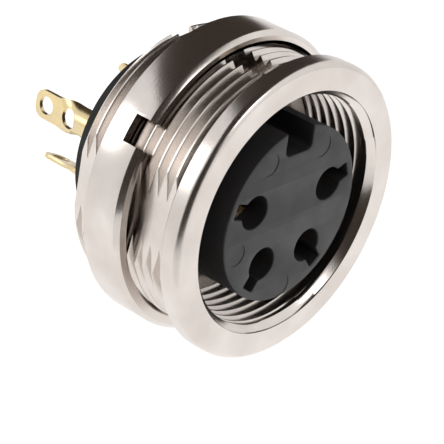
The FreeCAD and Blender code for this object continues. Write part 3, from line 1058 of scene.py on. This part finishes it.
def moulding_material(finish):
    """Dark grey moulding with a slight sheen, for the insert."""
    relief = {"Scale": 9000.0, "Strength": 0.25}
    return tinted_material("insert_moulding_grey", finish.moulding, finish.moulding_shade,
                           patches=500.0, roughness=(0.42, 0.55), relief=("fine_grain", relief),
                           specular=0.62)


def rear_material(finish):
    """Dull black moulding, for the rear insulator."""
    relief = {"Scale": 9000.0, "Strength": 0.25}
    return tinted_material("rear_moulding_black", finish.rear_moulding,
                           darker(finish.rear_moulding, 0.7), patches=500.0,
                           roughness=(0.45, 0.6), relief=("fine_grain", relief), specular=0.25)


def gold_material(finish):
    """Thin gold plate, for the contacts."""
    relief = {"Scale": 12000.0, "Strength": 0.15}
    return tinted_material("contact_gold_plate", finish.gold, finish.gold_shade, patches=700.0,
                           roughness=(0.20, 0.32), relief=("fine_grain", relief), metallic=1.0)


def steel_material(finish):
    """Bare spring steel, for the retaining ring."""
    relief = {"Rings": 5000.0, "Strength": 0.2}
    return tinted_material("ring_spring_steel", finish.steel, darker(finish.steel, 0.75),
                           patches=600.0, roughness=(0.30, 0.42), relief=("turning_rings", relief),
                           metallic=1.0)


def dress(piece, material):
    """Give every face of the piece one material."""
    piece.data.materials.clear()
    piece.data.materials.append(material)


def dress_node(node, material):
    """Give a CAD node a material without touching its mesh."""
    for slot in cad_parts[node].material_slots:
        slot.material = material


# Operators

class SOCKET_OT_shell(bpy.types.Operator):
    """Build the threaded shell in place of its CAD node"""
    bl_idname = "socket.build_shell"
    bl_label = "Build Shell"

    def execute(self, context):
        looks = context.scene.socket_looks
        piece = shell_piece(looks.thread, looks.shell)
        dress(piece, nickel_material(looks.finish))
        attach(piece, "socket")
        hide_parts("shell")
        return {"FINISHED"}


class SOCKET_OT_nut(bpy.types.Operator):
    """Build the slotted ring nut in place of its CAD node"""
    bl_idname = "socket.build_nut"
    bl_label = "Build Ring Nut"

    def execute(self, context):
        looks = context.scene.socket_looks
        piece = nut_piece(looks.thread, looks.nut, looks.shell.steps)
        dress(piece, nickel_material(looks.finish))
        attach(piece, "nut")
        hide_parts("ring_nut")
        return {"FINISHED"}


class SOCKET_OT_insert(bpy.types.Operator):
    """Build the contact insert in place of its CAD node"""
    bl_idname = "socket.build_insert"
    bl_label = "Build Contact Insert"

    def execute(self, context):
        looks = context.scene.socket_looks
        piece = insert_piece(looks.insert)
        dress(piece, moulding_material(looks.finish))
        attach(piece, "socket")
        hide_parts("contact_insert")
        return {"FINISHED"}


class SOCKET_OT_contacts(bpy.types.Operator):
    """Build the four contacts in place of their CAD nodes"""
    bl_idname = "socket.build_contacts"
    bl_label = "Build Contacts"

    def execute(self, context):
        looks = context.scene.socket_looks
        pattern = contact_mesh(looks.contact)
        dress(pattern, gold_material(looks.finish))
        for number, angle in enumerate(CONTACT_DIRECTIONS, 1):
            piece = pattern.copy()
            piece.data = pattern.data.copy()
            piece.name = "stamped_contact_%d" % number
            away = Matrix.Translation((0.0, 0.0, looks.insert.contact_circle))
            piece.data.transform(Matrix.Rotation(angle, 4, "Y") @ away)
            context.scene.collection.objects.link(piece)
            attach(piece, "socket")
            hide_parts("contact_%d" % number)
        bpy.data.objects.remove(pattern)
        return {"FINISHED"}


class SOCKET_OT_insulator(bpy.types.Operator):
    """Build the rear insulator in place of its CAD node"""
    bl_idname = "socket.build_insulator"
    bl_label = "Build Rear Insulator"

    def execute(self, context):
        looks = context.scene.socket_looks
        piece = insulator_piece(looks.insulator, looks.insert.contact_circle,
                                looks.contact.tail_turn)
        dress(piece, rear_material(looks.finish))
        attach(piece, "socket")
        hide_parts("rear_insulator")
        return {"FINISHED"}


class SOCKET_OT_ring(bpy.types.Operator):
    """Finish the retaining ring"""
    bl_idname = "socket.finish_ring"
    bl_label = "Finish Retaining Ring"

    def execute(self, context):
        dress_node("retaining_ring", steel_material(context.scene.socket_looks.finish))
        return {"FINISHED"}


class SOCKET_OT_stage(bpy.types.Operator):
    """Set up the floor, the screens, the world, the lamps and the camera"""
    bl_idname = "socket.build_stage"
    bl_label = "Build Stage"

    def execute(self, context):
        settings = context.scene.socket_looks.stage
        context.scene.view_settings.view_transform = "Standard"
        build_floor(settings)
        build_screens(settings)
        build_world(context.scene)
        build_lamps()
        build_camera(context.scene, settings)
        return {"FINISHED"}


# Stage

def towards_camera(settings):
    """Level direction from the socket towards the camera."""
    return Vector((-math.sin(settings.heading), -math.cos(settings.heading), 0.0))


def across_view(settings):
    """Level direction across the camera's view."""
    return towards_camera(settings).cross(Vector((0.0, 0.0, 1.0)))


def stage_piece(name, corners, faces, material):
    """A mesh of the stage in its own material."""
    mesh = bpy.data.meshes.new(name)
    mesh.from_pydata(corners, [], faces)
    piece = placed(name, mesh)
    dress(piece, material)
    return piece


def white_to_view(tree, shader, strength):
    """The shader with a white glow added for camera, glossy and transmission rays."""
    path = tree.nodes.new("ShaderNodeLightPath").outputs
    seen = maths(tree, "MAXIMUM", path["Is Camera Ray"], path["Is Glossy Ray"])
    seen = maths(tree, "MAXIMUM", seen, path["Is Transmission Ray"])
    glow = result(tree, "ShaderNodeEmission", {"Strength": strength})
    both = result(tree, "ShaderNodeAddShader", {0: shader, 1: glow})
    return result(tree, "ShaderNodeMixShader", {"Fac": seen, 1: shader, 2: both})


def build_floor(settings):
    """A white floor below and behind the socket that shows white and takes its shadow."""
    near = towards_camera(settings)
    across = across_view(settings) * settings.floor_size / 2.0
    down = Vector((0.0, 0.0, CAD_BOX[0].z - settings.floor_drop))
    front = down + near * settings.floor_reach
    rear = down - near * settings.floor_size
    material = bpy.data.materials.new("white_floor")
    material.use_nodes = True
    tree = material.node_tree
    shader = tree.nodes["Principled BSDF"]
    shader.inputs["Base Color"].default_value = (0.85, 0.85, 0.85, 1.0)
    shader.inputs["Roughness"].default_value = 0.9
    shader.inputs["Specular IOR Level"].default_value = 0.0
    tree.links.new(white_to_view(tree, shader.outputs[0], settings.floor_glow),
                   tree.nodes["Material Output"].inputs["Surface"])
    corners = [front - across, front + across, rear + across, rear - across]
    stage_piece("floor", corners, [(0, 1, 2, 3)], material)


def screen_mask(tree, settings):
    """How dark the screens are in each direction: overhead between the sides, and at the camera."""
    direct = result(tree, "ShaderNodeVectorMath", {0: object_place(tree)}, "Vector",
                    operation="NORMALIZE")
    up = result(tree, "ShaderNodeSeparateXYZ", {"Vector": direct}, "Z")
    aside = maths(tree, "ABSOLUTE", share_along(tree, direct, across_view(settings)))
    height = maths(tree, "MULTIPLY_ADD", aside, -settings.ceiling_rise, up)
    ceiling = map_range(tree, {
        "Value": height, "From Min": -settings.ceiling_fade, "From Max": 0.0})
    room = map_range(tree, {
        "Value": share_along(tree, direct, towards_camera(settings)),
        "From Min": settings.room_start, "From Max": settings.room_full,
    }, interpolation_type="SMOOTHSTEP")
    return maths(tree, "MAXIMUM", ceiling, room)


def dome(radius, reach, columns=48, rows=16):
    """Corners and faces of a dome about the origin that reaches an angle down from its top."""
    corners = [Vector((0.0, 0.0, radius))]
    for row in range(1, rows + 1):
        drop = reach * row / rows
        for column in range(columns):
            heading = FULL_TURN * column / columns
            corners.append(radius * Vector((math.sin(drop) * math.cos(heading),
                                            math.sin(drop) * math.sin(heading), math.cos(drop))))
    faces = [(0, 1 + column, 1 + (column + 1) % columns) for column in range(columns)]
    for row in range(rows - 1):
        for column in range(columns):
            here = 1 + row * columns + column
            beside = 1 + row * columns + (column + 1) % columns
            faces.append((here, here + columns, beside + columns, beside))
    return corners, faces


def build_screens(settings):
    """A dome whose dark parts the metal mirrors, and which the camera doesn't see."""
    material = bpy.data.materials.new("dark_screens")
    material.use_nodes = True
    tree = material.node_tree
    tree.nodes.clear()
    dark = result(tree, "ShaderNodeEmission", {"Color": (*settings.screen_shade, 1.0)})
    clear = result(tree, "ShaderNodeBsdfTransparent", {})
    mask = screen_mask(tree, settings)
    screens = result(tree, "ShaderNodeMixShader", {"Fac": mask, 1: clear, 2: dark})
    add_node(tree, "ShaderNodeOutputMaterial", {"Surface": screens})
    corners, faces = dome(settings.screen_distance, settings.screen_reach)
    stage_piece("dark_screens", corners, faces, material).visible_camera = False


def build_world(scene):
    """A white surround, which the screens and the floor leave open at both sides."""
    scene.world = bpy.data.worlds.new("studio")
    scene.world.use_nodes = True
    scene.world.node_tree.nodes["Background"].inputs["Color"].default_value = (1.0, 1.0, 1.0, 1.0)


def build_lamp(name, direct, reach, size, energy, mirrored):
    """A round soft lamp in one direction from the socket, aimed at it."""
    data = bpy.data.lights.new(name, "AREA")
    data.shape = "DISK"
    data.size = size
    data.energy = energy
    lamp = placed(name, data)
    lamp.location = reach * Vector(direct).normalized()
    lamp.rotation_euler = (-Vector(lamp.location)).to_track_quat("-Z", "Y").to_euler()
    lamp.visible_glossy = mirrored
    lamp.visible_camera = False


def build_lamps():
    """A lamp overhead that the metal doesn't mirror, and two that it does."""
    build_lamp("overhead_lamp", (-0.18, -0.22, 0.30), reach=0.41, size=0.35, energy=0.55,
               mirrored=False)
    build_lamp("side_lamp", (-0.72, 0.54, 0.43), reach=0.45, size=0.22, energy=0.20, mirrored=True)
    build_lamp("front_lamp", (0.05, -0.72, 0.62), reach=0.45, size=0.20, energy=0.17, mirrored=True)


def build_camera(scene, settings):
    """The camera at the photograph's viewing angle."""
    data = bpy.data.cameras.new("camera")
    data.sensor_width = 36.0
    data.lens = settings.lens
    data.clip_start = 0.01
    data.clip_end = 10.0
    camera = placed("camera", data)
    level = math.cos(settings.elevation)
    sight = Vector((math.sin(settings.heading) * level, math.cos(settings.heading) * level,
                    -math.sin(settings.elevation)))
    camera.location = Vector(settings.aim) - settings.distance * sight
    turn = sight.to_track_quat("-Z", "Y").to_matrix().to_4x4()
    camera.rotation_euler = (turn @ Matrix.Rotation(settings.roll, 4, "Z")).to_euler()
    scene.camera = camera


class SOCKET_PT_looks(bpy.types.Panel):
    """Lists the steps that build the socket's looks"""
    bl_idname = "SOCKET_PT_looks"
    bl_label = "Socket Looks"
    bl_space_type = "VIEW_3D"
    bl_region_type = "UI"
    bl_category = "Socket"

    def draw(self, context):
        for step in BUILD_STEPS:
            self.layout.operator(step.bl_idname)


BUILD_STEPS = (SOCKET_OT_shell, SOCKET_OT_nut, SOCKET_OT_insert, SOCKET_OT_contacts,
               SOCKET_OT_insulator, SOCKET_OT_ring, SOCKET_OT_stage)
CLASSES = (ThreadSizes, ShellSizes, NutSizes, InsertSizes, InsulatorSizes, ContactSizes,
           FinishColours, StageSettings, SocketLooks, *BUILD_STEPS, SOCKET_PT_looks)


def register():
    for item in CLASSES:
        bpy.utils.register_class(item)
    bpy.types.Scene.socket_looks = PointerProperty(type=SocketLooks)


def unregister():
    del bpy.types.Scene.socket_looks
    for item in reversed(CLASSES):
        bpy.utils.unregister_class(item)


def main():
    """Build every piece and the stage."""
    register()
    bpy.ops.socket.build_shell()
    bpy.ops.socket.build_nut()
    bpy.ops.socket.build_insert()
    bpy.ops.socket.build_contacts()
    bpy.ops.socket.build_insulator()
    bpy.ops.socket.finish_ring()
    bpy.ops.socket.build_stage()
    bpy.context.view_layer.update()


if __name__ == "__main__":
    main()
